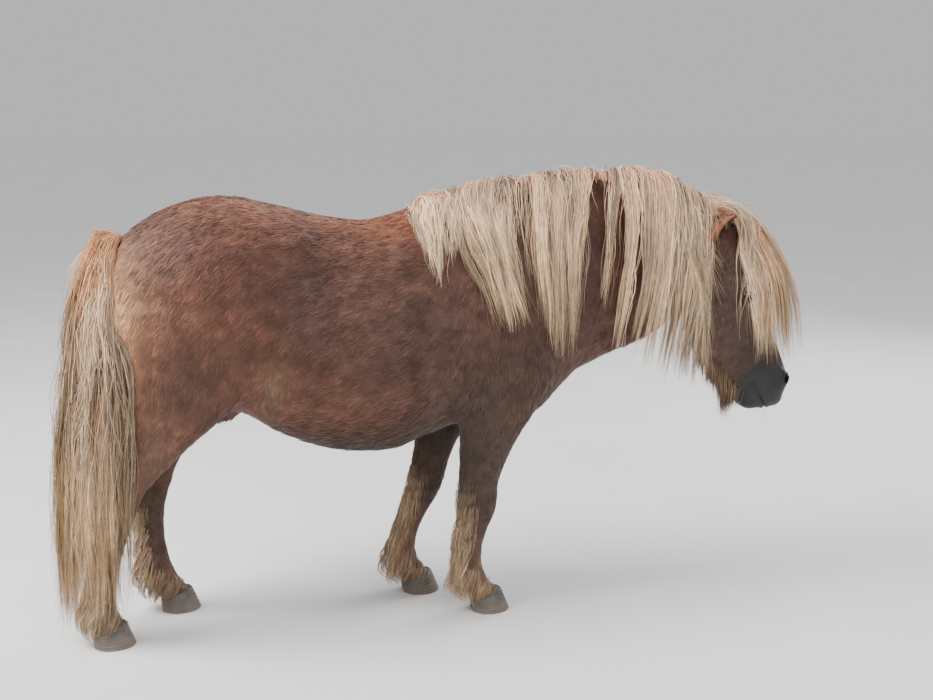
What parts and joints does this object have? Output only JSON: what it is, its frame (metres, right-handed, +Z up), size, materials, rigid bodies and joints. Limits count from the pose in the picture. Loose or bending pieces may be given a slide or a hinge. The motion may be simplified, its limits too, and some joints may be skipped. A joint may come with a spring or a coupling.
{
  "type": "shetland pony",
  "caption": "Life-size still Shetland pony, chestnut with a flaxen mane and tail, standing square on its hooves with its head lowered.",
  "frame": {"origin": "on the floor under the middle of the pony's bounding box", "axes": "+X towards the nose, +Y towards the pony's left side, +Z up"},
  "size_m": [1.8261, 0.4854, 1.0462],
  "materials": {
    "coat": "short chestnut hair, slightly shaggy, with flaxen feather on the legs",
    "hair": "long flaxen hair with tan and grey strands",
    "horn": "grey-brown hoof horn, dull",
    "eye": "wet, nearly black"
  },
  "bodies": {
    "root": {"torso": "coat", "neck": "coat", "head": "coat", "ear_left": "coat", "ear_right": "coat", "fore_leg_right": "coat", "fore_leg_left": "coat", "hind_leg_right": "coat", "hind_leg_left": "coat", "tail": "hair", "fore_hoof_right": "horn", "fore_hoof_left": "horn", "hind_hoof_right": "horn", "hind_hoof_left": "horn", "eye_left": "eye", "eye_right": "eye"}
  },
  "joints": []
}
